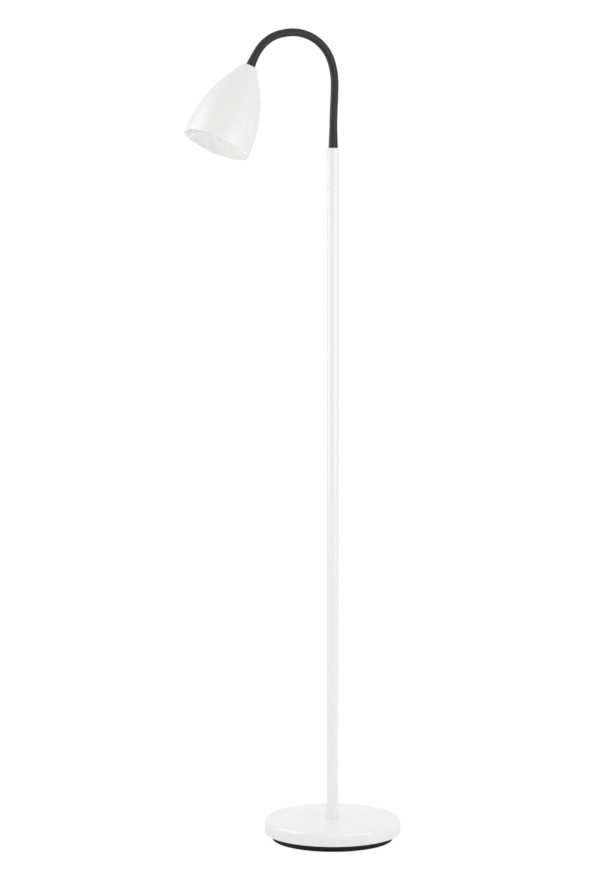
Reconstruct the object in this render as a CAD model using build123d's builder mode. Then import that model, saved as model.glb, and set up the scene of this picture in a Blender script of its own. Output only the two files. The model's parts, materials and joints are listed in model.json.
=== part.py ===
from build123d import *
from math import asin, cos, radians, sin, sqrt, tan
import os

# A gooseneck reading floor lamp: a weighted round base, a slim pole, a bendable neck that arches
# over, and a bullet-shaped shade round a small screw-cap bulb.
# Millimetres and degrees. +Z is up, the origin is the centre of the underside, and the neck
# arches over towards -X in the XZ plane. The neck is a steel hose in a rubber sleeve. Both are
# cut into short links here, so that they can bend. Near both ends every second hinge bends the
# neck sideways, and all the others bend it in the XZ plane.

# ---------------------------------------------------------------- driving dimensions
# Fits and clearances
FIT = 0.05  # per side, threads and pressed pieces
PLAY = 0.3  # between two neck links
ROOM = 0.8  # per side, easy assembly room inside the base
HOLE_ROOM = 0.4  # per side, round a screw or nipple that passes through

# Base
COVER_RADIUS = 115.0
COVER_HEIGHT = 23.8
COVER_WALL = 1.6
COVER_EDGE = 7.0
FOOT_SETBACK = 12.0  # how far the foot stands back from the cover's side
FOOT_HEIGHT = 11.4
FOOT_EDGE = 1.0
TRAY_WALL = 2.0
TRAY_FLOOR = 1.5
PAD_THICKNESS = 1.4
PAD_INSET = 1.5
WEIGHT_THICKNESS = 13.0
POCKET_RADIUS = 22.0
POCKET_DEPTH = 7.0

# Screws that hold the tray to the weight
SCREW_COUNT = 3
SCREW_CIRCLE_RADIUS = 80.0
SCREW_START_ANGLE = 60.0
SCREW_RADIUS = 2.0
SCREW_HEAD_RADIUS = 3.8
SCREW_HEAD_HEIGHT = 2.4
SCREW_GRIP = 8.0
BOSS_RADIUS = 6.5

# Grommet of the cord inlet, in the tray's wall on the side away from the head
GROMMET_HEIGHT = 7.35
GROMMET_WAIST = 3.4
GROMMET_RIM = 4.0
GROMMET_LIP = 1.2
GROMMET_BORE = 2.7
GROMMET_SEAT = 0.1

# Threaded pieces, M10 x 1
THREAD_RADIUS = 5.0
THREAD_BORE = 3.6
NUT_FLATS = 14.0
NUT_HEIGHT = 4.5
SHADE_NUT_HEIGHT = 3.0
WASHER_RADIUS = 9.0
WASHER_THICKNESS = 1.5
SHADE_WASHER_THICKNESS = 1.0
NIPPLE_TAIL = 1.0
NIPPLE_GRIP = 18.0

# Pole
POLE_RADIUS = 10.0
POLE_WALL = 1.2
POLE_TOP = 1162.0
CAP_FLANGE = 3.5
CAP_EDGE = 2.2
CAP_PLUG = 24.0
INSERT_LENGTH = 25.0
COLLAR_RADIUS = 11.4
COLLAR_HEIGHT = 2.6
COLLAR_EDGE = 0.9

# Neck fittings
FERRULE_RADIUS = 6.1
FERRULE_SHOULDER = 6.9
FERRULE_SHOULDER_HEIGHT = 1.5
FERRULE_GRIP = 14.0
LOWER_STUD = 16.0
UPPER_STUD = 13.0

# Neck
HOSE_RADIUS = 5.0
HOSE_BORE = 4.0
SLEEVE_RADIUS = 6.5
SLEEVE_FLARE = 1.4  # extra radius where the sleeve is stretched over a fitting
LOWER_FLARE_LENGTH = 45.0
UPPER_FLARE_LENGTH = 27.0
BALL_LIP = 0.35  # how much larger a hinge's ball is than the sleeve round it
FIRST_HINGE = 22.0
LOWER_PITCH = 24.5
ARCH_PITCH = 30.0
UPPER_PITCH = 18.0
NECK_TAIL_LENGTH = 30.6
# the rest bend of each hinge that works in the XZ plane, from the pole up
LOWER_BENDS = [-3.3, 6.7]
ARCH_BENDS = [16.9, 25.4, 21.9, 18.8, 17.0]
UPPER_BENDS = [25.3, 23.3]

# Inner lead
LEAD_RADIUS = 2.2
LEAD_SET_IN = 3.0  # how far inside the foot's wall the lead begins
LEAD_WANDER = [(66.0, 6.0), (32.0, -3.0)]
LEAD_CORNER = 12.5
STAND_LEAD_SHARE = 0.45  # part of a straight run that each arc may use
NECK_LEAD_SHARE = 0.3
LEAD_LIFT = 1.4
LEAD_OVERLAP = 6.0
LEAD_TAIL_LENGTH = 15.0
LEAD_GAP = 0.3  # between two stretches of the lead

# Shade, measured along its own axis from the end of the neck
SHADE_LENGTH = 142.0
SHADE_RADIUS = 55.8
SHADE_TOP_RADIUS = 12.9
SHADE_CONE_ANGLE = 30.2  # between the side of the cone at the top and the axis
SHADE_WIDEST = 132.0
SHADE_WALL = 1.2
SHADE_SHOULDER = 4.5  # rounding of the outer edge of the flat top
SHADE_EDGE = 0.48

# Lamp holder
HOLDER_START = 6.5
HOLDER_NECK_RADIUS = 8.6
HOLDER_RADIUS = 13.4
HOLDER_WALL = 2.4
HOLDER_THREAD = 7.0
HOLDER_SHOULDER = 6.0
HOLDER_CAP_LENGTH = 15.0
SKIRT_LENGTH = 34.0
CORE_SET_IN = 2.0
CORE_THICKNESS = 12.0
CORE_POCKET = 3.0
TERMINAL_OFFSET = 6.5
TERMINAL_RADIUS = 1.3
TERMINAL_HEAD_RADIUS = 2.2
TERMINAL_HEAD_HEIGHT = 1.4
TERMINAL_LENGTH = 7.0
CONTACT_RADIUS = 7.5
CONTACT_WALL = 0.5
CONTACT_LENGTH = 17.0
LEAF_WIDTH = 4.0
LEAF_THICKNESS = 0.4
LEAF_HALF = 5.0
LEAF_RISE = 2.4

# Bulb
BULB_TIP_RADIUS = 2.4
BULB_TIP_HEIGHT = 1.8
BULB_CAP_RADIUS = 6.8
BULB_CAP_LENGTH = 16.0
BULB_NECK_RADIUS = 8.5
BULB_NECK_LENGTH = 4.0
BULB_HOUSING_LENGTH = 26.0
BULB_RADIUS = 22.5
BULB_WALL = 1.0
BULB_SEAM_RADIUS = 20.5

# ---------------------------------------------------------------- derived sizes
cover_top = FOOT_HEIGHT + COVER_HEIGHT
foot_radius = COVER_RADIUS - FOOT_SETBACK
flange_radius = COVER_RADIUS - COVER_WALL - ROOM
weight_top = cover_top - COVER_WALL
weight_bottom = weight_top - WEIGHT_THICKNESS
pocket_top = weight_bottom + POCKET_DEPTH
tray_inside = PAD_THICKNESS + TRAY_FLOOR
nipple_hole = THREAD_RADIUS + HOLE_ROOM
tapped_hole = THREAD_RADIUS + FIT
pole_bore = POLE_RADIUS - POLE_WALL
nut_bottom = pocket_top - WASHER_THICKNESS - NUT_HEIGHT
tube_top = POLE_TOP - CAP_FLANGE

os.makedirs("parts", exist_ok=True)


def save(piece, name):
    """Label a finished piece and write it as its own file."""
    piece.part.label = name
    export_step(piece.part, f"parts/{name}.step")


def standing(radius, height, bottom, mode=Mode.ADD):
    """A cylinder on the lamp's axis, from bottom up."""
    with Locations((0, 0, bottom)):
        Cylinder(radius, height, align=(Align.CENTER, Align.CENTER, Align.MIN), mode=mode)


def at_screws(radius, height, bottom, mode=Mode.ADD):
    """A cylinder at each tray screw, from bottom up."""
    with Locations((0, 0, bottom)):
        with PolarLocations(SCREW_CIRCLE_RADIUS, SCREW_COUNT, start_angle=SCREW_START_ANGLE):
            Cylinder(radius, height, align=(Align.CENTER, Align.CENTER, Align.MIN), mode=mode)


def turned(plane, points):
    """Turn a closed outline of straight lines about its plane's Y axis."""
    with BuildSketch(plane) as outline:
        with BuildLine():
            Polyline(*points, close=True)
        make_face()
    revolve(outline.sketch, axis=Axis(plane.origin, plane.y_dir))


def hexagon_nut(plane, height):
    """An M10 nut that stands on a plane."""
    with BuildSketch(plane) as outline:
        RegularPolygon(NUT_FLATS / 2, 6, major_radius=False)
        Circle(tapped_hole, mode=Mode.SUBTRACT)
    extrude(outline.sketch, amount=height)


# ---------------------------------------------------------------- base
with BuildPart() as base_cover:
    standing(COVER_RADIUS, COVER_HEIGHT, FOOT_HEIGHT)
    fillet(base_cover.edges().sort_by(Axis.Z)[-1], COVER_EDGE)
    offset(amount=-COVER_WALL, openings=base_cover.faces().sort_by(Axis.Z)[0])
    standing(nipple_hole, COVER_HEIGHT, FOOT_HEIGHT, Mode.SUBTRACT)
save(base_cover, "base_cover")

with BuildPart() as base_weight:
    standing(flange_radius, WEIGHT_THICKNESS, weight_bottom)
    fillet(base_weight.edges().sort_by(Axis.Z)[-1], COVER_EDGE - COVER_WALL)
    standing(POCKET_RADIUS, POCKET_DEPTH, weight_bottom, Mode.SUBTRACT)
    standing(nipple_hole, WEIGHT_THICKNESS, weight_bottom, Mode.SUBTRACT)
    at_screws(SCREW_RADIUS + FIT, SCREW_GRIP, weight_bottom, Mode.SUBTRACT)
save(base_weight, "base_weight")

with BuildPart() as base_tray:
    turned(
        Plane.XZ,
        [
            (0, PAD_THICKNESS),
            (foot_radius, PAD_THICKNESS),
            (foot_radius, FOOT_HEIGHT),
            (flange_radius, FOOT_HEIGHT),
            (flange_radius, weight_bottom),
            (flange_radius - TRAY_WALL, weight_bottom),
            (flange_radius - TRAY_WALL, FOOT_HEIGHT + TRAY_WALL),
            (foot_radius - TRAY_WALL, FOOT_HEIGHT + TRAY_WALL),
            (foot_radius - TRAY_WALL, tray_inside),
            (0, tray_inside),
        ],
    )
    fillet(base_tray.edges().filter_by(GeomType.CIRCLE).sort_by(Axis.Z)[0], FOOT_EDGE)
    at_screws(BOSS_RADIUS, weight_bottom - tray_inside, tray_inside)
    at_screws(SCREW_RADIUS + HOLE_ROOM, weight_bottom, 0, Mode.SUBTRACT)
    at_screws(SCREW_HEAD_RADIUS + HOLE_ROOM, PAD_THICKNESS + SCREW_HEAD_HEIGHT, 0, Mode.SUBTRACT)
    with Locations(Location((foot_radius - TRAY_WALL / 2, 0, GROMMET_HEIGHT), (0, 90, 0))):
        Cylinder(GROMMET_WAIST + FIT, 2 * TRAY_WALL, mode=Mode.SUBTRACT)
save(base_tray, "base_tray")

with BuildPart() as floor_pad:
    standing(foot_radius - PAD_INSET, PAD_THICKNESS, 0)
save(floor_pad, "floor_pad")

with BuildPart() as tray_screws:
    screw_length = weight_bottom + SCREW_GRIP - HOLE_ROOM - PAD_THICKNESS
    at_screws(SCREW_HEAD_RADIUS, SCREW_HEAD_HEIGHT, PAD_THICKNESS)
    at_screws(SCREW_RADIUS, screw_length, PAD_THICKNESS)
save(tray_screws, "tray_screws")

with BuildPart() as inlet_grommet:
    lip_inside = foot_radius - TRAY_WALL - GROMMET_SEAT
    turned(
        Plane(origin=(0, 0, GROMMET_HEIGHT), x_dir=(0, 0, -1), z_dir=(0, -1, 0)),
        [
            (GROMMET_BORE, lip_inside - GROMMET_LIP),
            (GROMMET_RIM, lip_inside - GROMMET_LIP),
            (GROMMET_RIM, lip_inside),
            (GROMMET_WAIST, lip_inside),
            (GROMMET_WAIST, foot_radius),
            (GROMMET_RIM, foot_radius),
            (GROMMET_RIM, foot_radius + GROMMET_LIP),
            (GROMMET_BORE, foot_radius + GROMMET_LIP),
        ],
    )
save(inlet_grommet, "inlet_grommet")

# ---------------------------------------------------------------- what clamps the pole to the base
with BuildPart() as tie_nipple:
    nipple_bottom = nut_bottom - NIPPLE_TAIL
    nipple_length = cover_top + NIPPLE_GRIP - nipple_bottom
    standing(THREAD_RADIUS, nipple_length, nipple_bottom)
    standing(THREAD_BORE, nipple_length, nipple_bottom, Mode.SUBTRACT)
save(tie_nipple, "tie_nipple")

with BuildPart() as tie_nut:
    hexagon_nut(Plane.XY.offset(nut_bottom), NUT_HEIGHT)
save(tie_nut, "tie_nut")

with BuildPart() as tie_washer:
    standing(WASHER_RADIUS, WASHER_THICKNESS, pocket_top - WASHER_THICKNESS)
    standing(nipple_hole, WASHER_THICKNESS, pocket_top - WASHER_THICKNESS, Mode.SUBTRACT)
save(tie_washer, "tie_washer")

# ---------------------------------------------------------------- pole
with BuildPart() as pole_tube:
    standing(POLE_RADIUS, tube_top - cover_top, cover_top)
    standing(pole_bore, tube_top - cover_top, cover_top, Mode.SUBTRACT)
save(pole_tube, "pole_tube")

with BuildPart() as foot_collar:
    standing(COLLAR_RADIUS, COLLAR_HEIGHT, cover_top)
    fillet(foot_collar.edges().sort_by(Axis.Z)[-1], COLLAR_EDGE)
    standing(POLE_RADIUS + FIT, COLLAR_HEIGHT, cover_top, Mode.SUBTRACT)
save(foot_collar, "foot_collar")

with BuildPart() as pole_insert:
    standing(pole_bore - FIT, INSERT_LENGTH, cover_top)
    standing(tapped_hole, INSERT_LENGTH, cover_top, Mode.SUBTRACT)
save(pole_insert, "pole_insert")

with BuildPart() as pole_cap:
    standing(pole_bore - FIT, CAP_PLUG, tube_top - CAP_PLUG)
    standing(POLE_RADIUS, CAP_FLANGE, tube_top)
    fillet(pole_cap.edges().sort_by(Axis.Z)[-1], CAP_EDGE)
    standing(tapped_hole, CAP_PLUG + CAP_FLANGE, tube_top - CAP_PLUG, Mode.SUBTRACT)
save(pole_cap, "pole_cap")


# ---------------------------------------------------------------- neck
def direction(lean):
    """Direction in the XZ plane that leans by so many degrees from +Z towards -X."""
    return Vector(-sin(radians(lean)), 0, cos(radians(lean)))


def along(place, lean):
    """Plane in XZ whose Y axis runs up the neck, and whose X axis is the distance from it."""
    across = Vector(cos(radians(lean)), 0, sin(radians(lean)))
    return Plane(origin=place, x_dir=across, z_dir=(0, -1, 0))


def neck_hinges():
    """(station up the neck, place, lean above it, bend at rest) of every hinge, from the pole up."""
    lower = [(bend, LOWER_PITCH) for pair in LOWER_BENDS for bend in (0.0, pair)]
    arch = [(bend, ARCH_PITCH) for bend in ARCH_BENDS]
    upper = [(bend, UPPER_PITCH) for pair in UPPER_BENDS for bend in (0.0, pair)]
    rows, station, lean = [], 0.0, 0.0
    place = Vector(0, 0, POLE_TOP)
    for number, (bend, pitch) in enumerate(lower + arch + upper):
        step = pitch if number else FIRST_HINGE
        station += step
        place = place + direction(lean) * step
        lean += bend
        rows.append((station, place, lean, bend))
    return rows


def sleeve_radius(station):
    """Outer radius of the sleeve, which is wider where it is stretched over its end fittings."""
    low = 1 - station / LOWER_FLARE_LENGTH
    high = 1 - (neck_length - station) / UPPER_FLARE_LENGTH
    return SLEEVE_RADIUS + SLEEVE_FLARE * max(low, high, 0)


def on_ball(radius, centre, out):
    """Point of a ball's upper half, so far out from the axis."""
    return (out, centre + sqrt(radius**2 - out**2))


def neck_cylinder(radius, start, end, mode=Mode.ADD):
    """A cylinder on the shade's axis, between two distances past the end of the neck."""
    with Locations(Plane(origin=neck_end + direction(head_lean) * start, z_dir=direction(head_lean))):
        Cylinder(radius, end - start, align=(Align.CENTER, Align.CENTER, Align.MIN), mode=mode)


def ball_arc(radius, centre, start_out, end_out):
    """Arc of a ball's upper half between two distances from the axis."""
    middle_out = radius * sin((asin(start_out / radius) + asin(end_out / radius)) / 2)
    ThreePointArc(
        on_ball(radius, centre, start_out),
        on_ball(radius, centre, middle_out),
        on_ball(radius, centre, end_out),
    )


hinges = neck_hinges()
last_station, last_place, head_lean, _ = hinges[-1]
neck_length = last_station + NECK_TAIL_LENGTH
neck_end = last_place + direction(head_lean) * NECK_TAIL_LENGTH
first_radius = sleeve_radius(FIRST_HINGE)
last_radius = sleeve_radius(last_station)

sleeve_bore = HOSE_RADIUS + FIT
ferrule_seat = FERRULE_RADIUS + FIT
shoulder_seat = FERRULE_SHOULDER + FIT


def neck_ring(plane, cup, ball, pitch, inner, bottom_out, top_out):
    """A link of the neck, from the cup round the hinge below it to the ball in the hinge above it."""
    with BuildSketch(plane) as outline:
        with BuildLine():
            ball_arc(cup, 0, inner, bottom_out)
            Line(on_ball(cup, 0, bottom_out), on_ball(ball, pitch, top_out))
            ball_arc(ball, pitch, top_out, inner)
            Line(on_ball(ball, pitch, inner), on_ball(cup, 0, inner))
        make_face()
    revolve(outline.sketch, axis=Axis(plane.origin, plane.y_dir))


for number, (below, above) in enumerate(zip(hinges, hinges[1:]), start=1):
    station, place, lean, _ = below
    pitch = above[0] - station
    wide, narrow = sleeve_radius(station), sleeve_radius(above[0])
    cup, ball = wide + BALL_LIP + PLAY, narrow + BALL_LIP
    with BuildPart() as neck_hose:
        neck_ring(along(place, lean), cup, ball, pitch, HOSE_BORE, HOSE_RADIUS, HOSE_RADIUS)
    save(neck_hose, f"neck_hose_{number:02d}")
    with BuildPart() as neck_sleeve:
        neck_ring(along(place, lean), cup, ball, pitch, sleeve_bore, wide, narrow)
    save(neck_sleeve, f"neck_sleeve_{number:02d}")

# the stretch below the first hinge
first_ball = first_radius + BALL_LIP
hose_foot = FERRULE_SHOULDER_HEIGHT + FIT
lower_plane = along(Vector(0, 0, POLE_TOP), 0)

with BuildPart() as hose_end_lower:
    with BuildSketch(lower_plane):
        with BuildLine():
            ball_arc(first_ball, FIRST_HINGE, HOSE_RADIUS, HOSE_BORE)
            Polyline(
                on_ball(first_ball, FIRST_HINGE, HOSE_BORE),
                (HOSE_BORE, hose_foot),
                (HOSE_RADIUS, hose_foot),
                on_ball(first_ball, FIRST_HINGE, HOSE_RADIUS),
            )
        make_face()
    revolve(axis=Axis.Z)
save(hose_end_lower, "hose_end_lower")

with BuildPart() as sleeve_end_lower:
    with BuildSketch(lower_plane):
        with BuildLine():
            ball_arc(first_ball, FIRST_HINGE, first_radius, sleeve_bore)
            Polyline(
                on_ball(first_ball, FIRST_HINGE, sleeve_bore),
                (sleeve_bore, FERRULE_GRIP + FIT),
                (ferrule_seat, FERRULE_GRIP + FIT),
                (ferrule_seat, hose_foot),
                (shoulder_seat, hose_foot),
                (shoulder_seat, 0),
                (sleeve_radius(0), 0),
                on_ball(first_ball, FIRST_HINGE, first_radius),
            )
        make_face()
    revolve(axis=Axis.Z)
save(sleeve_end_lower, "sleeve_end_lower")

with BuildPart() as neck_ferrule_lower:
    standing(THREAD_RADIUS, LOWER_STUD, POLE_TOP - LOWER_STUD)
    standing(FERRULE_SHOULDER, FERRULE_SHOULDER_HEIGHT, POLE_TOP)
    standing(FERRULE_RADIUS, FERRULE_GRIP, POLE_TOP)
    standing(THREAD_BORE, LOWER_STUD + FERRULE_GRIP, POLE_TOP - LOWER_STUD, Mode.SUBTRACT)
    standing(sleeve_bore, FERRULE_GRIP, POLE_TOP + FERRULE_SHOULDER_HEIGHT, Mode.SUBTRACT)
save(neck_ferrule_lower, "neck_ferrule_lower")

# the stretch above the last hinge
last_cup = last_radius + BALL_LIP + PLAY
hose_tip = NECK_TAIL_LENGTH - hose_foot
grip_start = NECK_TAIL_LENGTH - FERRULE_GRIP - FIT
upper_plane = along(last_place, head_lean)
upper_axis = Axis(last_place, direction(head_lean))

with BuildPart() as hose_end_upper:
    with BuildSketch(upper_plane):
        with BuildLine():
            ball_arc(last_cup, 0, HOSE_BORE, HOSE_RADIUS)
            Polyline(
                on_ball(last_cup, 0, HOSE_RADIUS),
                (HOSE_RADIUS, hose_tip),
                (HOSE_BORE, hose_tip),
                on_ball(last_cup, 0, HOSE_BORE),
            )
        make_face()
    revolve(axis=upper_axis)
save(hose_end_upper, "hose_end_upper")

with BuildPart() as sleeve_end_upper:
    with BuildSketch(upper_plane):
        with BuildLine():
            ball_arc(last_cup, 0, sleeve_bore, last_radius)
            Polyline(
                on_ball(last_cup, 0, last_radius),
                (sleeve_radius(neck_length), NECK_TAIL_LENGTH),
                (shoulder_seat, NECK_TAIL_LENGTH),
                (shoulder_seat, hose_tip),
                (ferrule_seat, hose_tip),
                (ferrule_seat, grip_start),
                (sleeve_bore, grip_start),
                on_ball(last_cup, 0, sleeve_bore),
            )
        make_face()
    revolve(axis=upper_axis)
save(sleeve_end_upper, "sleeve_end_upper")

with BuildPart() as neck_ferrule_upper:
    neck_cylinder(FERRULE_RADIUS, -FERRULE_GRIP, 0)
    neck_cylinder(FERRULE_SHOULDER, -FERRULE_SHOULDER_HEIGHT, 0)
    neck_cylinder(THREAD_RADIUS, 0, UPPER_STUD)
    neck_cylinder(THREAD_BORE, -FERRULE_GRIP, UPPER_STUD, Mode.SUBTRACT)
    neck_cylinder(sleeve_bore, -FERRULE_GRIP, -FERRULE_SHOULDER_HEIGHT, Mode.SUBTRACT)
save(neck_ferrule_upper, "neck_ferrule_upper")

# ---------------------------------------------------------------- shade
shade_plane = along(neck_end, head_lean)
shade_axis = Axis(neck_end, direction(head_lean))
washer_end = SHADE_WALL + SHADE_WASHER_THICKNESS

with BuildPart() as shade:
    # the cone runs from the flat top to where it touches the arc that rounds the shade's side
    cone_angle = radians(SHADE_CONE_ANGLE)
    spread = SHADE_RADIUS - SHADE_TOP_RADIUS - SHADE_WIDEST * tan(cone_angle / 2)
    cone_length = spread / (tan(cone_angle) - tan(cone_angle / 2))
    arc_radius = (SHADE_WIDEST - cone_length) / sin(cone_angle)
    arc_centre = Vector(SHADE_RADIUS - arc_radius, SHADE_WIDEST)
    rim_angle = asin((SHADE_LENGTH - SHADE_WIDEST) / arc_radius)
    touch, side, rim = (
        arc_centre + Vector(cos(angle), sin(angle)) * arc_radius
        for angle in (-cone_angle, (rim_angle - cone_angle) / 2, rim_angle)
    )
    with BuildSketch(shade_plane):
        with BuildLine():
            Polyline((0, SHADE_LENGTH), (0, 0), (SHADE_TOP_RADIUS, 0), touch)
            ThreePointArc(touch, side, rim)
            Line(rim, (0, SHADE_LENGTH))
        make_face()
    revolve(axis=shade_axis)
    fillet(shade.edges().sort_by(shade_axis)[0], SHADE_SHOULDER)
    offset(amount=-SHADE_WALL, openings=shade.faces().sort_by(shade_axis)[-1])
    neck_cylinder(nipple_hole, 0, SHADE_WALL, Mode.SUBTRACT)
    fillet(shade.edges().sort_by(shade_axis)[-2:], SHADE_EDGE)
save(shade, "shade")

with BuildPart() as shade_washer:
    neck_cylinder(WASHER_RADIUS, SHADE_WALL, washer_end)
    neck_cylinder(nipple_hole, SHADE_WALL, washer_end, Mode.SUBTRACT)
save(shade_washer, "shade_washer")

with BuildPart() as shade_nut:
    nut_origin = neck_end + direction(head_lean) * washer_end
    hexagon_nut(Plane(origin=nut_origin, z_dir=direction(head_lean)), SHADE_NUT_HEIGHT)
save(shade_nut, "shade_nut")

# ---------------------------------------------------------------- lamp holder
holder_bore = HOLDER_RADIUS - HOLDER_WALL
skirt_start = HOLDER_START + HOLDER_CAP_LENGTH
skirt_end = skirt_start + SKIRT_LENGTH
core_back = skirt_start + CORE_SET_IN
core_front = core_back + CORE_THICKNESS
head_across = shade_plane.x_dir
terminal_spots = [neck_end + head_across * side * TERMINAL_OFFSET for side in (-1, 1)]


def terminal_cylinders(radius, start, end, mode=Mode.ADD):
    """A cylinder at each terminal, between two distances past the end of the neck."""
    for spot in terminal_spots:
        with Locations(Plane(origin=spot + direction(head_lean) * start, z_dir=direction(head_lean))):
            Cylinder(radius, end - start, align=(Align.CENTER, Align.CENTER, Align.MIN), mode=mode)


with BuildPart() as holder_cap:
    turned(
        shade_plane,
        [
            (tapped_hole, HOLDER_START),
            (HOLDER_NECK_RADIUS, HOLDER_START),
            (HOLDER_RADIUS, HOLDER_START + HOLDER_SHOULDER),
            (HOLDER_RADIUS, skirt_start),
            (holder_bore, skirt_start),
            (holder_bore, HOLDER_START + HOLDER_THREAD),
            (tapped_hole, HOLDER_START + HOLDER_THREAD),
        ],
    )
save(holder_cap, "holder_cap")

with BuildPart() as holder_skirt:
    neck_cylinder(HOLDER_RADIUS, skirt_start, skirt_end)
    neck_cylinder(holder_bore, skirt_start, skirt_end, Mode.SUBTRACT)
save(holder_skirt, "holder_skirt")

with BuildPart() as holder_core:
    neck_cylinder(holder_bore - FIT, core_back, core_front)
    neck_cylinder(LEAD_RADIUS + HOLE_ROOM, core_back, core_back + CORE_POCKET, Mode.SUBTRACT)
    terminal_cylinders(TERMINAL_RADIUS + FIT, core_back, core_back + TERMINAL_LENGTH, Mode.SUBTRACT)
save(holder_core, "holder_core")

with BuildPart() as terminal_screws:
    terminal_cylinders(TERMINAL_HEAD_RADIUS, core_back - TERMINAL_HEAD_HEIGHT, core_back)
    terminal_cylinders(TERMINAL_RADIUS, core_back, core_back + TERMINAL_LENGTH - HOLE_ROOM)
save(terminal_screws, "terminal_screws")

with BuildPart() as contact_sleeve:
    neck_cylinder(CONTACT_RADIUS, core_front, core_front + CONTACT_LENGTH)
    neck_cylinder(CONTACT_RADIUS - CONTACT_WALL, core_front, core_front + CONTACT_LENGTH, Mode.SUBTRACT)
save(contact_sleeve, "contact_sleeve")

with BuildPart() as contact_leaf:
    leaf_top = core_front + LEAF_RISE
    bend = LEAF_HALF / 2
    with BuildSketch(shade_plane):
        with BuildLine():
            Polyline(
                (-LEAF_HALF, core_front),
                (-bend, core_front),
                (bend, leaf_top - LEAF_THICKNESS),
                (LEAF_HALF, leaf_top - LEAF_THICKNESS),
                (LEAF_HALF, leaf_top),
                (bend - LEAF_THICKNESS / 2, leaf_top),
                (-bend - LEAF_THICKNESS / 2, core_front + LEAF_THICKNESS),
                (-LEAF_HALF, core_front + LEAF_THICKNESS),
                close=True,
            )
        make_face()
    extrude(amount=LEAF_WIDTH / 2, both=True)
save(contact_leaf, "contact_leaf")

# ---------------------------------------------------------------- bulb
cap_end = leaf_top + BULB_CAP_LENGTH
housing_end = cap_end + BULB_HOUSING_LENGTH
globe_centre = housing_end + sqrt(BULB_RADIUS**2 - BULB_SEAM_RADIUS**2)

with BuildPart() as bulb_cap:
    turned(
        shade_plane,
        [
            (0, leaf_top),
            (BULB_TIP_RADIUS, leaf_top),
            (BULB_CAP_RADIUS, leaf_top + BULB_TIP_HEIGHT),
            (BULB_CAP_RADIUS, cap_end),
            (0, cap_end),
        ],
    )
save(bulb_cap, "bulb_cap")

with BuildPart() as bulb_housing:
    neck_top = cap_end + BULB_NECK_LENGTH
    with BuildSketch(shade_plane):
        with BuildLine():
            Polyline(
                (0, housing_end),
                (0, cap_end),
                (BULB_NECK_RADIUS, cap_end),
                (BULB_NECK_RADIUS, neck_top),
            )
            TangentArc((BULB_NECK_RADIUS, neck_top), (BULB_SEAM_RADIUS, housing_end), tangent=(0, 1))
            Line((BULB_SEAM_RADIUS, housing_end), (0, housing_end))
        make_face()
    revolve(axis=shade_axis)
save(bulb_housing, "bulb_housing")

with BuildPart() as bulb_globe:
    inner_radius = BULB_RADIUS - BULB_WALL
    seam = globe_centre - housing_end
    inner_seam = sqrt(inner_radius**2 - seam**2)
    with BuildSketch(shade_plane):
        with BuildLine():
            ThreePointArc(
                (BULB_SEAM_RADIUS, housing_end),
                (BULB_RADIUS, globe_centre),
                (0, globe_centre + BULB_RADIUS),
            )
            Line((0, globe_centre + BULB_RADIUS), (0, globe_centre + inner_radius))
            ThreePointArc(
                (0, globe_centre + inner_radius),
                (inner_radius, globe_centre),
                (inner_seam, housing_end),
            )
            Line((inner_seam, housing_end), (BULB_SEAM_RADIUS, housing_end))
        make_face()
    revolve(axis=shade_axis)
save(bulb_globe, "bulb_globe")


# ---------------------------------------------------------------- inner lead
def arc_radii(points, share):
    """At each corner of a route, the radius whose arc uses that share of the shorter run there."""
    radii = []
    for before, corner, after in zip(points, points[1:], points[2:]):
        shorter = min((corner - before).length, (after - corner).length)
        turn = radians((corner - before).get_angle(after - corner))
        radii.append(share * shorter / tan(turn / 2))
    return radii


def lead_along(points, radii):
    """Round lead along straight runs that are joined by arcs."""
    with BuildLine() as route:
        FilletPolyline(*points, radius=radii)
    start = Plane(origin=points[0], z_dir=points[1] - points[0])
    with BuildSketch(start) as section:
        Circle(LEAD_RADIUS)
    sweep(section.sketch, path=route.wire())


lead_split = Vector(0, 0, POLE_TOP + FIRST_HINGE - LEAD_OVERLAP)
tray_points = [(foot_radius - LEAD_SET_IN, 0), *LEAD_WANDER, (0, 0)]
stand_end = lead_split - Vector(0, 0, LEAD_GAP)
stand_points = [Vector(x, y, GROMMET_HEIGHT) for x, y in tray_points] + [stand_end]
stand_radii = arc_radii(stand_points, STAND_LEAD_SHARE)
stand_radii[-1] = LEAD_CORNER
lead_end = last_place + direction(head_lean) * LEAD_TAIL_LENGTH
# in the neck the lead keeps to the outer side of the arch
corners = [
    place + along(place, lean - bend / 2).x_dir * LEAD_LIFT
    for _, place, lean, bend in hinges
    if bend
]
neck_points = [lead_split, *corners, lead_end]
neck_radii = arc_radii(neck_points, NECK_LEAD_SHARE)
print("lead radii", [round(radius) for radius in stand_radii + neck_radii])

with BuildPart() as lead_stand:
    lead_along(stand_points, stand_radii)
save(lead_stand, "lead_stand")

with BuildPart() as lead_neck:
    lead_along(neck_points, neck_radii)
save(lead_neck, "lead_neck")

head_start = LEAD_TAIL_LENGTH + LEAD_GAP - NECK_TAIL_LENGTH
with BuildPart() as lead_head:
    neck_cylinder(LEAD_RADIUS, head_start, core_back + CORE_POCKET)
save(lead_head, "lead_head")
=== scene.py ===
import json
import math

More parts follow.
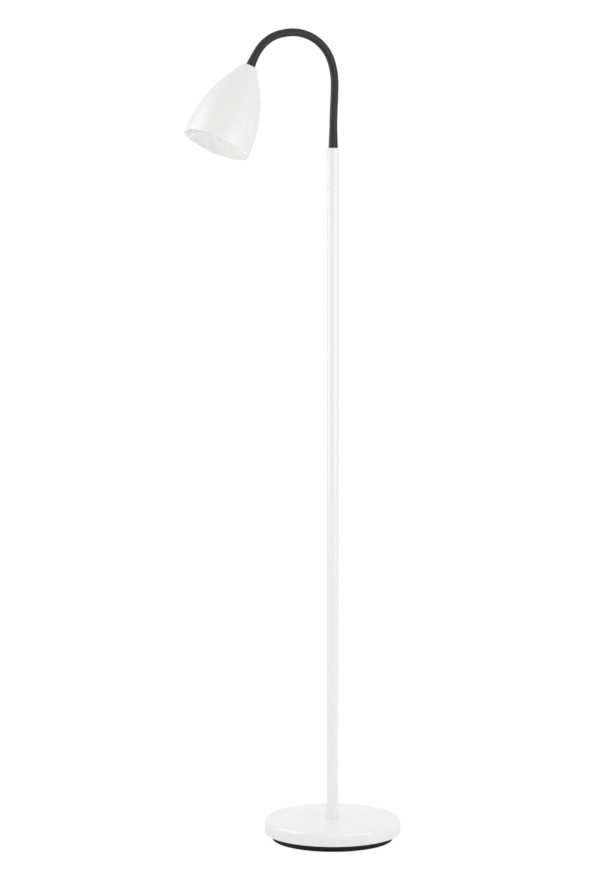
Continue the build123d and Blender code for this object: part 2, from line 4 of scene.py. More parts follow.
import bmesh
import bpy
import numpy as np
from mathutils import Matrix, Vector

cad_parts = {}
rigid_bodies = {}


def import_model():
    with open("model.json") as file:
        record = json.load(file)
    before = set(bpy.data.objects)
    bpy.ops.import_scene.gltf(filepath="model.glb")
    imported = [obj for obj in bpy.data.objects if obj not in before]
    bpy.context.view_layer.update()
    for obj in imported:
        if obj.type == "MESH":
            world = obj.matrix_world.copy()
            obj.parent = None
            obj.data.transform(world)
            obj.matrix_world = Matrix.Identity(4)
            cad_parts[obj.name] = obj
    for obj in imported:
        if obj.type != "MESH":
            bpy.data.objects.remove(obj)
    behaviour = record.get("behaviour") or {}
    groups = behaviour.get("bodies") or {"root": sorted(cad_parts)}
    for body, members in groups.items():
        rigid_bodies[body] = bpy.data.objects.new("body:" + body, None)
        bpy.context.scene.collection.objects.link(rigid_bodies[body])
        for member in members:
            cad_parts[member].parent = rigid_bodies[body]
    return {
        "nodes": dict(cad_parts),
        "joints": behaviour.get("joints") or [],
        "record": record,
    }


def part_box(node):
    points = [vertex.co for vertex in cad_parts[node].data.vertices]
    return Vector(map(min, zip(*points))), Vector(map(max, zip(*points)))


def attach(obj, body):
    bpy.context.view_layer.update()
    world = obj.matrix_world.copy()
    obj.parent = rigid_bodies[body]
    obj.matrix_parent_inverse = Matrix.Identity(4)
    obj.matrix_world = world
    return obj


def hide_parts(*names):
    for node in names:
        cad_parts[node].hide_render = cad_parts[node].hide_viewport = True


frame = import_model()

MM = 0.001
UP = Vector((0, 0, 1))
ACROSS = Vector((0, 1, 0))
SHARP = math.radians(32)  # edges that turn more than this stay sharp


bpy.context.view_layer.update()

# ---------------------------------------------------------------- sizes, in millimetres
COVER_WALL = 1.6
COVER_EDGE = 7.0
COVER_LIP = 0.7
COVER_BORE = 5.6
COLLAR_BORE = 10.03
PAD_SETBACK = 1.5
FOOT_WALL = 2.8
FOOT_FLOOR = 1.5
FOOT_GROOVE = 0.9
BAND_LOW = 3.4  # the foot's band, between its two grooves
BAND_HIGH = 6.6
BAND_SLOPE = 1.2
TRAY_WALL = 2.0
POLE_WALL = 1.2
POLE_CHAMFER = 0.25
CAP_EDGE = 2.2
CAP_BORE = 5.05
CAP_DEPTH = 27.5
HOSE_RADIUS = 4.98
HOSE_BORE = 4.0
SLEEVE_RADIUS = 6.5
SLEEVE_FLARE = 1.4
SLEEVE_BORE = 5.05
SLEEVE_LIP = 0.7
LOWER_FLARE = 45.0
UPPER_FLARE = 27.0
GRIP = 14.05  # how far the sleeve reaches over an end fitting
GRIP_BORE = 6.15
SHOULDER = 1.55
SHOULDER_BORE = 6.95
BORE_STEP = 0.05
LEAD_RADIUS = 2.2
LEAD_START = 16.0  # from the lower end of the neck
LEAD_TAIL = 15.0  # past the last hinge
TAIL = 30.6  # from the last hinge to the shade
BALL_EASE = 0.02  # a ball end is this much smaller than the tube that covers it
BALL_LAND = 0.15  # and stops this far outside its bore
ROD_TIP = 0.3  # share of its radius at which the ball end of a solid rod is cut flat
NECK_LIFT = 0.07  # share of the turn at a hinge by which the smooth line is pushed outward
STRAIGHT = math.radians(1)  # a hinge that turns less than this doesn't shape the line
HEAD_LEAN = 152.0
SHADE_LENGTH = 142.0
SHADE_RADIUS = 55.8
SHADE_TOP = 12.9
SHADE_CONE = 30.2
SHADE_WIDEST = 132.0
SHADE_WALL = 1.2
SHADE_SHOULDER = 4.5
SHADE_RIM = 0.55
SHADE_HOLE = 5.4
SHADE_HOLE_EDGE = 0.15
ARC_STEPS = 48
CONE_STEPS = 6
SKIRT_START = 21.5
SKIRT_END = 55.5
SKIRT_RADIUS = 13.4
SKIRT_BORE = 11.0
RIB_COUNT = 36
RIB_DEPTH = 0.35
LEAF_TOP = 37.9
BULB_CAP_LENGTH = 16.0
THREAD_TURNS = 3.5
THREAD_ROWS = 24
HOUSING_LENGTH = 26.0
HOUSING_NECK = 8.5
HOUSING_SEAM = 20.5
GLOBE_RADIUS = 22.5
GLOBE_WALL = 1.0

# brightness of the floor and the surroundings
FLOOR_BOUNCE = 0.90
FLOOR_SEEN = 0.16
FLOOR_GLOW = 0.93
WORLD_LIGHT = 0.91
BACKDROP = 1.02

# the camera, in metres and degrees
VIEW_TURN = 35.0
VIEW_PITCH = 5.54
CAMERA_PLACE = (-2.8556, -3.9823, 1.160)
CAMERA_LENS = 122.0


# ---------------------------------------------------------------- mesh helpers
def rounded(corners, steps=6):
    """A closed outline of (radius, height, rounding) corners, with an arc at each rounded one."""
    points = []
    count = len(corners)
    for i, (x, y, rounding) in enumerate(corners):
        here = Vector((x, y))
        if not rounding:
            points.append((x, y))
            continue
        before = (Vector(corners[i - 1][:2]) - here).normalized()
        after = (Vector(corners[(i + 1) % count][:2]) - here).normalized()
        half = before.angle(after) / 2
        middle = here + (before + after).normalized() * rounding / math.sin(half)
        start = here + before * rounding / math.tan(half) - middle
        turn = start.angle_signed(here + after * rounding / math.tan(half) - middle)
        for k in range(steps + 1):
            a = -turn * k / steps
            c, s = math.cos(a), math.sin(a)
            across, along = start.x * c - start.y * s, start.x * s + start.y * c
            points.append((middle.x + across, middle.y + along))
    return points


def linked(name, data):
    obj = bpy.data.objects.new(name, data)
    bpy.context.collection.objects.link(obj)
    return obj


def mesh_object(name, verts, faces):
    """A smooth mesh with its faces turned outward."""
    mesh = bpy.data.meshes.new(name)
    mesh.from_pydata([tuple(v) for v in verts], [], faces)
    mesh.validate()
    mesh.shade_smooth()
    mesh.set_sharp_from_angle(angle=SHARP)
    bm = bmesh.new()
    bm.from_mesh(mesh)
    bmesh.ops.recalc_face_normals(bm, faces=bm.faces)
    bm.to_mesh(mesh)
    bm.free()
    return linked(name, mesh)


def lathe(name, outline, place=(0, 0, 0), axis=UP, steps=128, ribs=None):
    """A closed outline of (radius, height) in millimetres, turned about an axis through place."""
    axis = Vector(axis).normalized()
    front = ACROSS.cross(axis)
    place = Vector(place)
    verts, rings = [], []
    for i, (r, h) in enumerate(outline):
        if r < 1e-6:
            rings.append([len(verts)])
            verts.append(place + axis * h * MM)
            continue
        ring = []
        for k in range(steps):
            a = 2 * math.pi * k / steps
            out = r + (ribs(i, a) if ribs else 0)
            ring.append(len(verts))
            away = front * math.cos(a) + ACROSS * math.sin(a)
            verts.append(place + axis * h * MM + away * out * MM)
        rings.append(ring)
    faces = []
    for low, high in zip(rings, rings[1:] + rings[:1]):
        if len(low) == 1 and len(high) == 1:
            continue
        for k in range(steps):
            n = (k + 1) % steps
            if len(low) == 1:
                faces.append((low[0], high[n], high[k]))
            elif len(high) == 1:
                faces.append((low[k], low[n], high[0]))
            else:
                faces.append((low[k], low[n], high[n], high[k]))
    return mesh_object(name, verts, faces)


def arc(x, y, radius, start, end, steps):
    """Points of an arc round (x, y), from one angle in degrees to another."""
    return [
        (x + radius * math.cos(a), y + radius * math.sin(a))
        for a in np.linspace(math.radians(start), math.radians(end), steps)
    ]


def finish_piece(obj, body, look, node):
    """Puts a piece on its body, in place of one CAD node."""
    obj.data.materials.append(look.material)
    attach(obj, body)
    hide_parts(node)


# ---------------------------------------------------------------- materials
class Shader:
    """A Principled material whose texture nodes are added step by step."""

    def __init__(self, name, color, roughness, **values):
        self.material = bpy.data.materials.new(name)
        self.material.use_nodes = True
        self.tree = self.material.node_tree
        self.shader = self.tree.nodes["Principled BSDF"]
        self.set("Base Color", (*color, 1.0))
        self.set("Roughness", roughness)
        for key, value in values.items():
            self.set(key.replace("_", " "), value)
        coordinates = self.tree.nodes.new("ShaderNodeTexCoord")
        self.place = coordinates.outputs["Object"]

    def set(self, socket, value):
        self.shader.inputs[socket].default_value = value

    def noise(self, scale, detail, stretch=None):
        noise = self.tree.nodes.new("ShaderNodeTexNoise")
        noise.inputs["Scale"].default_value = scale
        noise.inputs["Detail"].default_value = detail
        place = self.place
        if stretch:
            mapping = self.tree.nodes.new("ShaderNodeMapping")
            mapping.inputs["Scale"].default_value = stretch
            self.tree.links.new(place, mapping.inputs["Vector"])
            place = mapping.outputs["Vector"]
        self.tree.links.new(place, noise.inputs["Vector"])
        return noise.outputs["Fac"]

    def colors(self, value, low, high):
        """Colour from low to high over the middle of the noise."""
        ramp = self.tree.nodes.new("ShaderNodeValToRGB")
        start, end = ramp.color_ramp.elements
        start.position, end.position = 0.3, 0.7
        start.color, end.color = (*low, 1.0), (*high, 1.0)
        self.tree.links.new(value, ramp.inputs["Fac"])
        self.tree.links.new(ramp.outputs["Color"], self.shader.inputs["Base Color"])

    def roughen(self, value, low, high):
        """Roughness from low to high over the middle of the noise."""
        ramp = self.tree.nodes.new("ShaderNodeMapRange")
        ramp.inputs["From Min"].default_value = 0.35
        ramp.inputs["From Max"].default_value = 0.65
        ramp.inputs["To Min"].default_value = low
        ramp.inputs["To Max"].default_value = high
        self.tree.links.new(value, ramp.inputs["Value"])
        self.tree.links.new(ramp.outputs["Result"], self.shader.inputs["Roughness"])

    def bump(self, value, height, strength):
        """Bump of so many metres."""
        bump = self.tree.nodes.new("ShaderNodeBump")
        bump.inputs["Strength"].default_value = strength
        bump.inputs["Distance"].default_value = height
        self.tree.links.new(value, bump.inputs["Height"])
        self.tree.links.new(bump.outputs["Normal"], self.shader.inputs["Normal"])


def grey(value, warmth=0.0):
    return (value * (1 + warmth), value, value * (1 - warmth))


paint = Shader("white semi-gloss paint", grey(0.86, 0.002), 0.16)
paint.bump(paint.noise(2600, 2.0), 0.00002, 0.12)
paint.roughen(paint.noise(90, 4.0), 0.14, 0.18)

shade_paint = Shader("white shade paint", grey(0.86, 0.002), 0.42)
shade_paint.bump(shade_paint.noise(2600, 2.0), 0.00002, 0.2)
shade_paint.roughen(shade_paint.noise(70, 4.0), 0.39, 0.45)

rubber = Shader("black sleeve rubber", grey(0.012), 0.5, Specular_IOR_Level=0.36)
rubber.colors(rubber.noise(2400, 5.0), grey(0.007), grey(0.016))
rubber.bump(rubber.noise(3200, 4.0), 0.00006, 0.35)

foot_black = Shader("black foot plastic", grey(0.008), 0.5, Specular_IOR_Level=0.3)
foot_black.colors(foot_black.noise(1800, 4.0), grey(0.006), grey(0.010))
foot_black.bump(foot_black.noise(2600, 3.0), 0.00005, 0.3)

pad_rubber = Shader("black pad rubber", grey(0.02), 0.75)
pad_rubber.bump(pad_rubber.noise(900, 4.0), 0.00012, 0.5)

cast_iron = Shader("cast iron", grey(0.10), 0.62, Metallic=0.8)
cast_iron.colors(cast_iron.noise(500, 6.0), grey(0.07), grey(0.14))
cast_iron.bump(cast_iron.noise(700, 6.0), 0.0002, 0.6)

zinc = Shader("zinc plated steel", grey(0.60), 0.32, Metallic=1.0)
zinc.roughen(zinc.noise(600, 4.0, (1, 1, 0.1)), 0.25, 0.42)

wire = Shader("wound steel wire", grey(0.45), 0.35, Metallic=1.0)
wire.bump(wire.noise(900, 2.0, (0.2, 0.2, 1)), 0.0002, 0.6)

brass = Shader("brass", (0.72, 0.52, 0.22), 0.28, Metallic=1.0)
brass.roughen(brass.noise(800, 3.0), 0.22, 0.36)

cap_metal = Shader("bulb cap metal", grey(0.70), 0.22, Metallic=1.0)
cap_metal.roughen(cap_metal.noise(900, 3.0), 0.18, 0.3)

holder_white = Shader("white holder plastic", grey(0.76, 0.004), 0.33)
holder_white.bump(holder_white.noise(2000, 2.0), 0.00002, 0.2)

housing_white = Shader("white bulb housing", grey(0.80, 0.002), 0.28)
housing_white.bump(housing_white.noise(1500, 2.0), 0.00002, 0.2)

opal = Shader(
    "opal globe", grey(0.85, 0.002), 0.3, Subsurface_Weight=0.25, Subsurface_Scale=0.004
)
opal.roughen(opal.noise(120, 3.0), 0.26, 0.34)

jacket = Shader("black lead jacket", grey(0.02), 0.5)
jacket.bump(jacket.noise(1500, 3.0), 0.00005, 0.3)

looks = {
    "white_paint": paint,
    "cast_iron": cast_iron,
    "black_plastic": foot_black,
    "white_plastic": holder_white,
    "black_rubber": pad_rubber,
    "sleeve_rubber": rubber,
    "zinc_steel": zinc,
    "hose_steel": wire,
    "brass": brass,
    "cap_metal": cap_metal,
    "opal": opal,
    "lead_jacket": jacket,
}
slot_of = {row["node"]: row["material_slot"] for row in frame["record"]["subparts"]}
for node, obj in frame["nodes"].items():
    look = looks[slot_of[node]].material
    if obj.material_slots:
        for entry in obj.material_slots:
            entry.material = look
    else:
        obj.data.materials.append(look)


def top_of(node):
    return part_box(node)[1].z / MM


def bottom_of(node):
    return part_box(node)[0].z / MM


def reach_of(node):
    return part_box(node)[1].x / MM


# ---------------------------------------------------------------- base
foot_bottom = bottom_of("base_tray")
foot_radius = reach_of("floor_pad") + PAD_SETBACK
seat = bottom_of("base_cover")
cover_top = top_of("base_cover")
cover_radius = reach_of("base_cover")
collar_radius = reach_of("foot_collar")

cover = lathe(
    "base_cover_painted",
    rounded(
        [
            (COVER_BORE, cover_top, 0),
            (cover_radius, cover_top, COVER_EDGE),
            (cover_radius, seat, COVER_LIP),
            (cover_radius - COVER_WALL, seat, COVER_LIP),
            (cover_radius - COVER_WALL, cover_top - COVER_WALL, COVER_EDGE - COVER_WALL),
            (COVER_BORE, cover_top - COVER_WALL, 0),
        ],
        steps=12,
    ),
    steps=192,
)
finish_piece(cover, "stand", paint, "base_cover")

flange_radius = reach_of("base_tray")
tray_top = top_of("base_tray")
groove_radius = foot_radius - FOOT_GROOVE
foot = lathe(
    "base_foot_moulded",
    rounded(
        [
            (0, foot_bottom, 0),
            (foot_radius - 0.6, foot_bottom, 1.0),
            (groove_radius, foot_bottom + BAND_LOW - BAND_SLOPE, 0.5),
            (foot_radius, foot_bottom + BAND_LOW, 0.9),
            (foot_radius, foot_bottom + BAND_HIGH, 0.9),
            (groove_radius, foot_bottom + BAND_HIGH + BAND_SLOPE, 0.5),
            (groove_radius, seat, 0.3),
            (flange_radius, seat, 0.3),
            (flange_radius, tray_top, 0),
            (flange_radius - TRAY_WALL, tray_top, 0),
            (flange_radius - TRAY_WALL, seat + TRAY_WALL, 0),
            (foot_radius - FOOT_WALL, seat + TRAY_WALL, 0),
            (foot_radius - FOOT_WALL, foot_bottom + FOOT_FLOOR, 0),
            (0, foot_bottom + FOOT_FLOOR, 0),
        ],
        steps=5,
    ),
    steps=192,
)
finish_piece(foot, "stand", foot_black, "base_tray")

collar = lathe(
    "foot_collar_painted",
    rounded(
        [
            (COLLAR_BORE, cover_top, 0),
            (collar_radius, cover_top, 0.25),
            (collar_radius, top_of("foot_collar"), 0.9),
            (COLLAR_BORE, top_of("foot_collar"), 0.3),
        ]
    ),
)
finish_piece(collar, "stand", paint, "foot_collar")

# ---------------------------------------------------------------- pole
pole_top = top_of("pole_cap")
tube_top = top_of("pole_tube")
pole_radius = reach_of("pole_tube")
pole_bore = pole_radius - POLE_WALL

pole_rings = np.linspace(cover_top + 8, tube_top - 8, 24)
pole = lathe(
    "pole_tube_painted",
    [(pole_bore, cover_top), (pole_radius, cover_top)]
    + [(pole_radius, h) for h in pole_rings]
    + [
        (pole_radius, tube_top - POLE_CHAMFER),
        (pole_radius - POLE_CHAMFER, tube_top),
        (pole_bore, tube_top),
    ],
    steps=96,
)
finish_piece(pole, "stand", paint, "pole_tube")

cap = lathe(
    "pole_cap_painted",
    rounded(
        [
            (CAP_BORE, pole_top - CAP_DEPTH, 0),
            (pole_bore - 0.05, pole_top - CAP_DEPTH, 0.4),
            (pole_bore - 0.05, tube_top, 0),
            (pole_radius, tube_top, POLE_CHAMFER),
            (pole_radius, pole_top, CAP_EDGE),
            (CAP_BORE, pole_top, 0.2),
        ],
        steps=8,
    ),
    steps=96,
)
finish_piece(cap, "stand", paint, "pole_cap")

# ---------------------------------------------------------------- neck
joints = [j for j in frame["joints"] if j["name"].startswith("neck_")]
hinges = [Vector(j["pos_m"]) for j in joints]


def spline_points(controls):
    """Points of the smooth NURBS spline that has these control points."""
    curve = bpy.data.curves.new("neck line", "CURVE")
    curve.dimensions = "3D"
    spline = curve.splines.new("NURBS")
    spline.points.add(len(controls) - 1)
    for point, place in zip(spline.points, controls):
        point.co = (*place, 1.0)
    spline.order_u = 3
    spline.use_endpoint_u = True
    curve.resolution_u = spline.resolution_u = 64
    obj = linked("neck line", curve)
    bpy.context.view_layer.update()
    mesh = bpy.data.meshes.new_from_object(obj)
    points = np.array([v.co for v in mesh.vertices])
    bpy.data.objects.remove(obj)
    bpy.data.meshes.remove(mesh)
    bpy.data.curves.remove(curve)
    return points


head_lean = math.radians(HEAD_LEAN)
head_axis = Vector((-math.sin(head_lean), 0, math.cos(head_lean)))
neck_end = hinges[-1] + head_axis * TAIL * MM
pole_end = Vector((0, 0, pole_top * MM))

# the smooth neck swings round the outside of each bent hinge and cuts inside between them
chain = [pole_end, *hinges, neck_end]
bent = [
    here
    for before, here, after in zip(chain, chain[1:], chain[2:])
    if (here - before).angle(after - here) > STRAIGHT
]
bent = [pole_end, *bent, neck_end]
controls = [
    here + (here * 2 - before - after) * NECK_LIFT
    for before, here, after in zip(bent, bent[1:], bent[2:])
]
line = spline_points([pole_end, *controls, neck_end])
steps_along = np.linalg.norm(np.diff(line, axis=0), axis=1)
along_line = np.concatenate([[0], np.cumsum(steps_along)])
line_length = along_line[-1]
bodies = [joints[0]["parent"]] + [j["child"] for j in joints]
hinge_marks = [
    along_line[np.argmin(np.linalg.norm(line - np.array(hinge), axis=1))] for hinge in hinges
]
cuts = [0.0, *hinge_marks, line_length]


def centre_at(distance):
    return Vector([float(np.interp(distance, along_line, line[:, k])) for k in range(3)])


def heading_at(distance):
    reach = 0.5 * MM
    behind, ahead = max(distance - reach, 0), min(distance + reach, line_length)
    return (centre_at(ahead) - centre_at(behind)).normalized()


def sleeve_radius(distance):
    """Wider towards both ends, and rounded off at its lips."""
    s = distance / MM
    low = 1 - s / LOWER_FLARE
    high = 1 - (line_length / MM - s) / UPPER_FLARE
    swell = max(low, high, 0)
    swell = swell * swell * (1.6 - 0.6 * swell) if swell < 1 else 1
    lip = min(s, line_length / MM - s)
    drop = SLEEVE_LIP - math.sqrt(max(SLEEVE_LIP**2 - max(SLEEVE_LIP - lip, 0) ** 2, 0))
    return SLEEVE_RADIUS + SLEEVE_FLARE * swell - drop


def sleeve_bore(distance):
    s = distance / MM
    lip = min(s, line_length / MM - s)
    if lip < SHOULDER:
        return SHOULDER_BORE
    return GRIP_BORE if lip < GRIP else SLEEVE_BORE


def tube(name, start, end, outer, inner=None, spacing=1.2, steps=48, extra=()):
    """A tube along the neck between two distances; a solid rod if inner is None."""
    count = max(2, round((end - start) / MM / spacing) + 1)
    marks = {*np.linspace(start, end, count), *(e for e in extra if start <= e <= end)}
    marks = sorted(marks)
    verts, faces = [], []

    def ring(distance, radius):
        front = ACROSS.cross(heading_at(distance))
        centre = centre_at(distance)
        first = len(verts)
        for k in range(steps):
            a = 2 * math.pi * k / steps
            verts.append(centre + (front * math.cos(a) + ACROSS * math.sin(a)) * radius * MM)
        return first

    def join(a, b):
        for k in range(steps):
            n = (k + 1) % steps
            faces.append((a + k, a + n, b + n, b + k))

    outside = [ring(m, outer(m)) for m in marks]
    for a, b in zip(outside, outside[1:]):
        join(a, b)
    if inner:
        inside = [ring(m, inner(m)) for m in marks]
        for a, b in zip(inside, inside[1:]):
            join(b, a)
        join(inside[0], outside[0])
        join(outside[-1], inside[-1])
    else:
        faces.append(tuple(range(outside[0], outside[0] + steps))[::-1])
        faces.append(tuple(range(outside[-1], outside[-1] + steps)))
    return mesh_object(name, verts, faces)


def link_tube(name, number, outer, inner, first, last, extra=(), **detail):
    """The stretch of a tube on one link of the neck, with a ball end round each of its hinges."""
    start, end = max(cuts[number], first), min(cuts[number + 1], last)
    low, high, extra = start, end, list(extra)
    balls = []
    for at, way in ((start, -1), (end, 1)):
        if at not in hinge_marks:
            continue
        radius = outer(at) - BALL_EASE
        tip = inner(at) + BALL_LAND if inner else radius * ROD_TIP
        reach = math.sqrt(radius**2 - tip**2) * MM
        balls.append((at, way, radius))
        extra += [at + way * reach * math.sin(math.radians(t)) for t in range(0, 90, 10)]
        low, high = (at - reach, high) if way < 0 else (low, at + reach)

    def ball_ended(distance):
        for at, way, radius in balls:
            past = (distance - at) * way / MM
            if past >= 0:
                return math.sqrt(max(radius**2 - past**2, 0))
        return outer(distance)

    return tube(name, low, high, ball_ended, inner, extra=extra, **detail)


near_end = [SLEEVE_LIP * (1 - math.cos(math.radians(a))) for a in (0, 18, 36, 54, 72, 90)]
near_end += [SHOULDER, SHOULDER + BORE_STEP, GRIP, GRIP + BORE_STEP]
near_ends = [d * MM for d in near_end] + [line_length - d * MM for d in near_end]

for i, body in enumerate(bodies):
    tag = f"{i:02d}"
    part = "end_lower" if i == 0 else "end_upper" if i == len(hinges) else None
    sleeve = link_tube(
        f"sleeve_link_{tag}", i, sleeve_radius, sleeve_bore, 0.0, line_length, extra=near_ends
    )
    sleeve_node = f"sleeve_{part}" if part else f"neck_sleeve_{tag}"
    finish_piece(sleeve, body, rubber, sleeve_node)
    hose = link_tube(
        f"hose_link_{tag}",
        i,
        lambda distance: HOSE_RADIUS,
        lambda distance: HOSE_BORE,
        SHOULDER * MM,
        line_length - SHOULDER * MM,
        spacing=2.5,
        steps=24,
    )
    hose_node = f"hose_{part}" if part else f"neck_hose_{tag}"
    finish_piece(hose, body, wire, hose_node)
    lead = link_tube(
        f"lead_link_{tag}",
        i,
        lambda distance: LEAD_RADIUS,
        None,
        LEAD_START * MM,
        line_length - (TAIL - LEAD_TAIL) * MM,
        spacing=3,
        steps=16,
    )
    finish_piece(lead, body, jacket, "lead_neck")

# ---------------------------------------------------------------- shade
cone = math.radians(SHADE_CONE)
spread = SHADE_RADIUS - SHADE_TOP - SHADE_WIDEST * math.tan(cone / 2)
cone_length = spread / (math.tan(cone) - math.tan(cone / 2))
arc_radius = (SHADE_WIDEST - cone_length) / math.sin(cone)
rim_angle = math.degrees(math.asin((SHADE_LENGTH - SHADE_WIDEST) / arc_radius))
outer_arc, inner_arc = (
    arc(SHADE_RADIUS - arc_radius, SHADE_WIDEST, radius, -SHADE_CONE, rim_angle, ARC_STEPS)
    for radius in (arc_radius, arc_radius - SHADE_WALL)
)
inner_top = SHADE_TOP + SHADE_WALL * (math.tan(cone) - 1 / math.cos(cone))
outer_cone = [
    (SHADE_TOP + (outer_arc[0][0] - SHADE_TOP) * t, outer_arc[0][1] * t)
    for t in np.linspace(0, 1, CONE_STEPS + 1)
]
shade_corners = (
    [(SHADE_HOLE, 0, SHADE_HOLE_EDGE), (SHADE_TOP, 0, SHADE_SHOULDER)]
    + [(x, y, 0) for x, y in outer_cone[1:-1]]
    + [(x, y, 0) for x, y in outer_arc[:-1]]
    + [(*outer_arc[-1], SHADE_RIM), (*inner_arc[-1], SHADE_RIM)]
    + [(x, y, 0) for x, y in reversed(inner_arc[:-1])]
    + [(inner_top, SHADE_WALL, SHADE_SHOULDER - SHADE_WALL)]
    + [(SHADE_HOLE, SHADE_WALL, SHADE_HOLE_EDGE)]
)
shade = lathe(
    "shade_spun", rounded(shade_corners, steps=6), place=neck_end, axis=head_axis, steps=192
)
finish_piece(shade, "head", shade_paint, "shade")

# ---------------------------------------------------------------- lamp holder and bulb
def skirt_ribs(index, angle):
    """Ribs on the plain rows of the skirt, between its two end bands."""
    return -RIB_DEPTH * (0.5 + 0.5 * math.cos(angle * RIB_COUNT)) if 2 <= index <= 9 else 0


skirt = lathe(
    "holder_skirt_ribbed",
    [
        (SKIRT_BORE, SKIRT_START),
        (SKIRT_RADIUS - 0.2, SKIRT_START),
        (SKIRT_RADIUS, SKIRT_START + 0.3),
        (SKIRT_RADIUS, SKIRT_START + 3.0),
        (SKIRT_RADIUS, SKIRT_START + 3.6),
        (SKIRT_RADIUS, SKIRT_START + 10),
        (SKIRT_RADIUS, SKIRT_START + 17),
        (SKIRT_RADIUS, SKIRT_START + 24),
        (SKIRT_RADIUS, SKIRT_END - 4.2),
        (SKIRT_RADIUS, SKIRT_END - 3.6),
        (SKIRT_RADIUS, SKIRT_END - 3.0),
        (SKIRT_RADIUS, SKIRT_END - 0.6),
        (SKIRT_RADIUS - 0.2, SKIRT_END - 0.15),
        (SKIRT_RADIUS - 0.7, SKIRT_END),
        (SKIRT_BORE + 0.3, SKIRT_END),
        (SKIRT_BORE, SKIRT_END - 0.3),
    ],
    place=neck_end,
    axis=head_axis,
    steps=288,
    ribs=skirt_ribs,
)
finish_piece(skirt, "head", holder_white, "holder_skirt")

cap_end = LEAF_TOP + BULB_CAP_LENGTH
housing_end = cap_end + HOUSING_LENGTH
cap_rows = [(0, 0), (2.2, 0), (2.4, 0.3), (2.4, 0.7), (5.4, 1.7)]
for k in range(THREAD_ROWS + 1):
    t = k / THREAD_ROWS
    cap_rows.append((6.45 - 0.3 * math.cos(2 * math.pi * t * THREAD_TURNS), 2.6 + 9.4 * t))
cap_rows.append((6.75, 12.6))
cap_rows = [(r, LEAF_TOP + h) for r, h in cap_rows] + [(6.8, cap_end), (0, cap_end)]
bulb_cap = lathe("bulb_cap_threaded", cap_rows, place=neck_end, axis=head_axis, steps=64)
finish_piece(bulb_cap, "head", cap_metal, "bulb_cap")

# the housing swells in one arc from its neck to the seam with the globe
swell_start = cap_end + 4
swell_out = HOUSING_SEAM - HOUSING_NECK
swell_high = housing_end - swell_start
swell_radius = (swell_out**2 + swell_high**2) / (2 * swell_out)
swell_angle = math.degrees(math.asin(swell_high / swell_radius))
swell = arc(HOUSING_NECK + swell_radius, swell_start, swell_radius, 180, 180 - swell_angle, 24)
housing = lathe(
    "bulb_housing_moulded",
    [(0, cap_end), (HOUSING_NECK - 0.4, cap_end), (HOUSING_NECK, cap_end + 0.4)]
    + swell[:-1]
    + [(HOUSING_SEAM, housing_end - 0.25), (HOUSING_SEAM - 0.3, housing_end), (0, housing_end)],
    place=neck_end,
    axis=head_axis,
    steps=96,
)
finish_piece(housing, "head", housing_white, "bulb_housing")

globe_height = housing_end + math.sqrt(GLOBE_RADIUS**2 - HOUSING_SEAM**2)
seam_angle = math.degrees(math.asin((housing_end - globe_height) / GLOBE_RADIUS))
inner_globe = GLOBE_RADIUS - GLOBE_WALL
inner_seam = math.degrees(math.asin((housing_end - globe_height) / inner_globe))
globe_rows = arc(0, globe_height, GLOBE_RADIUS, seam_angle, 90, 40)
globe_rows[-1] = (0, globe_height + GLOBE_RADIUS)
inside_rows = arc(0, globe_height, inner_globe, 90, inner_seam, 40)
inside_rows[0] = (0, globe_height + inner_globe)
globe = lathe(
    "bulb_globe_opal", globe_rows + inside_rows, place=neck_end, axis=head_axis, steps=96
)
finish_piece(globe, "head", opal, "bulb_globe")

# ---------------------------------------------------------------- floor and light


def stage_sheet(name, corners, look):
    """A flat sheet with four corners, which isn't part of the lamp."""
    mesh = bpy.data.meshes.new(name)
    mesh.from_pydata(corners, [], [(0, 1, 2, 3)])
    mesh.materials.append(look)
    sheet = linked(name, mesh)
    return sheet


floor_look = bpy.data.materials.new("white floor")
floor_look.use_nodes = True
nodes, links = floor_look.node_tree.nodes, floor_look.node_tree.links
nodes.clear()
output = nodes.new("ShaderNodeOutputMaterial")
mix = nodes.new("ShaderNodeMixShader")
path = nodes.new("ShaderNodeLightPath")
bounce = nodes.new("ShaderNodeBsdfDiffuse")
bounce.inputs["Color"].default_value = (*grey(FLOOR_BOUNCE), 1)
seen_diffuse = nodes.new("ShaderNodeBsdfDiffuse")
seen_diffuse.inputs["Color"].default_value = (*grey(FLOOR_SEEN), 1)
glow = nodes.new("ShaderNodeEmission")
glow.inputs["Color"].default_value = (1, 1, 1, 1)
glow.inputs["Strength"].default_value = FLOOR_GLOW
seen = nodes.new("ShaderNodeAddShader")
links.new(seen_diffuse.outputs[0], seen.inputs[0])
links.new(glow.outputs[0], seen.inputs[1])
links.new(path.outputs["Is Camera Ray"], mix.inputs["Fac"])
links.new(bounce.outputs[0], mix.inputs[1])
links.new(seen.outputs[0], mix.inputs[2])
links.new(mix.outputs[0], output.inputs["Surface"])
stage_sheet("floor", [(-40, -40, 0), (40, -40, 0), (40, 40, 0), (-40, 40, 0)], floor_look)

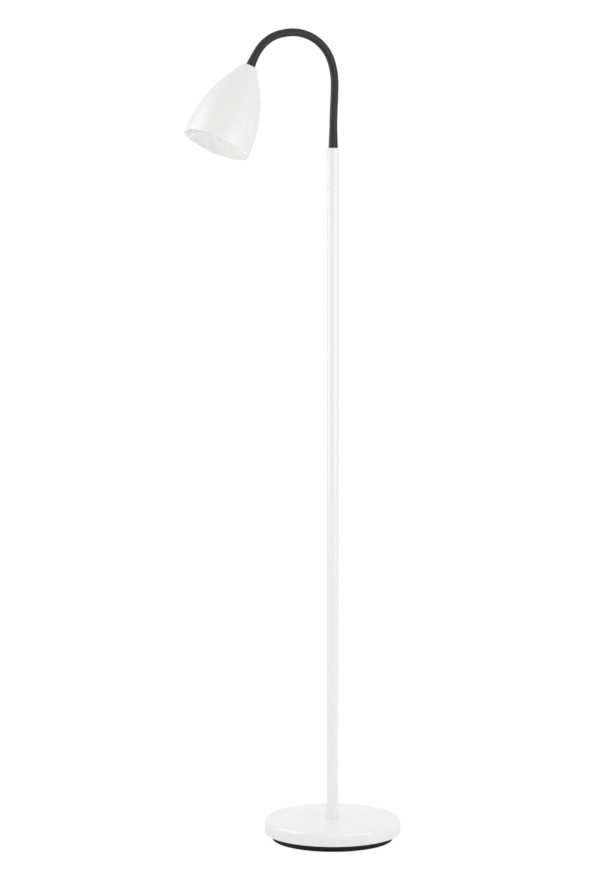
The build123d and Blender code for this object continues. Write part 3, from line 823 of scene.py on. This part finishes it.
world = bpy.data.worlds.new("studio") if not bpy.data.worlds else bpy.data.worlds[0]
bpy.context.scene.world = world
world.use_nodes = True
nodes, links = world.node_tree.nodes, world.node_tree.links
nodes.clear()
output = nodes.new("ShaderNodeOutputWorld")
mix = nodes.new("ShaderNodeMixShader")
path = nodes.new("ShaderNodeLightPath")
light = nodes.new("ShaderNodeBackground")
light.inputs["Color"].default_value = (1, 1, 1, 1)
light.inputs["Strength"].default_value = WORLD_LIGHT
backdrop = nodes.new("ShaderNodeBackground")
backdrop.inputs["Color"].default_value = (1, 1, 1, 1)
backdrop.inputs["Strength"].default_value = BACKDROP
shown = nodes.new("ShaderNodeMath")
shown.operation = "MAXIMUM"
links.new(path.outputs["Is Camera Ray"], shown.inputs[0])
links.new(path.outputs["Is Glossy Ray"], shown.inputs[1])
links.new(shown.outputs[0], mix.inputs["Fac"])
links.new(light.outputs[0], mix.inputs[1])
links.new(backdrop.outputs[0], mix.inputs[2])
links.new(mix.outputs[0], output.inputs["Surface"])


def area_light(name, place, target, size, power, spread=180):
    """A softbox at a place, aimed at a target."""
    data = bpy.data.lights.new(name, "AREA")
    data.shape = "RECTANGLE"
    data.size, data.size_y = size
    data.energy = power
    data.spread = math.radians(spread)
    lamp = linked(name, data)
    lamp.location = place
    lamp.rotation_euler = (Vector(target) - Vector(place)).to_track_quat("-Z", "Y").to_euler()


view_turn = math.radians(VIEW_TURN)
view_ahead = Vector((math.sin(view_turn), math.cos(view_turn), 0))
view_right = view_ahead.cross(UP)
mouth = neck_end + head_axis * SHADE_LENGTH * MM
half_way_up = (0, 0, 0.6)
tall = (0.5, 1.3)
area_light("mouth fill", mouth + head_axis * 0.6, mouth, (0.06, 0.06), 0.046, spread=8)
area_light("left softbox", -view_right * 2.0 - view_ahead * 0.8 + UP * 0.8, half_way_up, tall, 4.2)
area_light("right softbox", view_right * 1.9 - view_ahead * 1.0 + UP * 0.8, half_way_up, tall, 5.6)


def reflection_card(name, angle, distance, width, low, high, strength):
    """A softbox that only reflections see, so many degrees to the right of the camera."""
    aim = math.radians(angle)
    toward = -view_ahead * math.cos(aim) + view_right * math.sin(aim)
    half = UP.cross(toward) * width / 2
    corners = [
        toward * distance + half * side + UP * height
        for side, height in ((-1, low), (1, low), (1, high), (-1, high))
    ]
    glow = bpy.data.materials.new(name)
    glow.use_nodes = True
    nodes = glow.node_tree.nodes
    nodes.clear()
    emission = nodes.new("ShaderNodeEmission")
    emission.inputs["Strength"].default_value = strength
    surface = nodes.new("ShaderNodeOutputMaterial")
    glow.node_tree.links.new(emission.outputs[0], surface.inputs["Surface"])
    card = stage_sheet(name, corners, glow)
    card.visible_camera = card.visible_diffuse = False
    card.visible_shadow = card.visible_transmission = False


reflection_card("right card", 38, distance=1.8, width=1.1, low=0.36, high=1.6, strength=3.2)
reflection_card("left card", -85, distance=1.8, width=1.5, low=0.36, high=3.0, strength=3.2)

# ---------------------------------------------------------------- camera
camera_data = bpy.data.cameras.new("camera")
camera_data.lens = CAMERA_LENS
camera_data.sensor_width = 36.0
camera = linked("camera", camera_data)
pitch = math.radians(VIEW_PITCH)
gaze = view_ahead * math.cos(pitch) - UP * math.sin(pitch)
camera.location = CAMERA_PLACE
camera.rotation_euler = gaze.to_track_quat("-Z", "Y").to_euler()
bpy.context.scene.camera = camera

bpy.context.scene.view_settings.view_transform = "Standard"
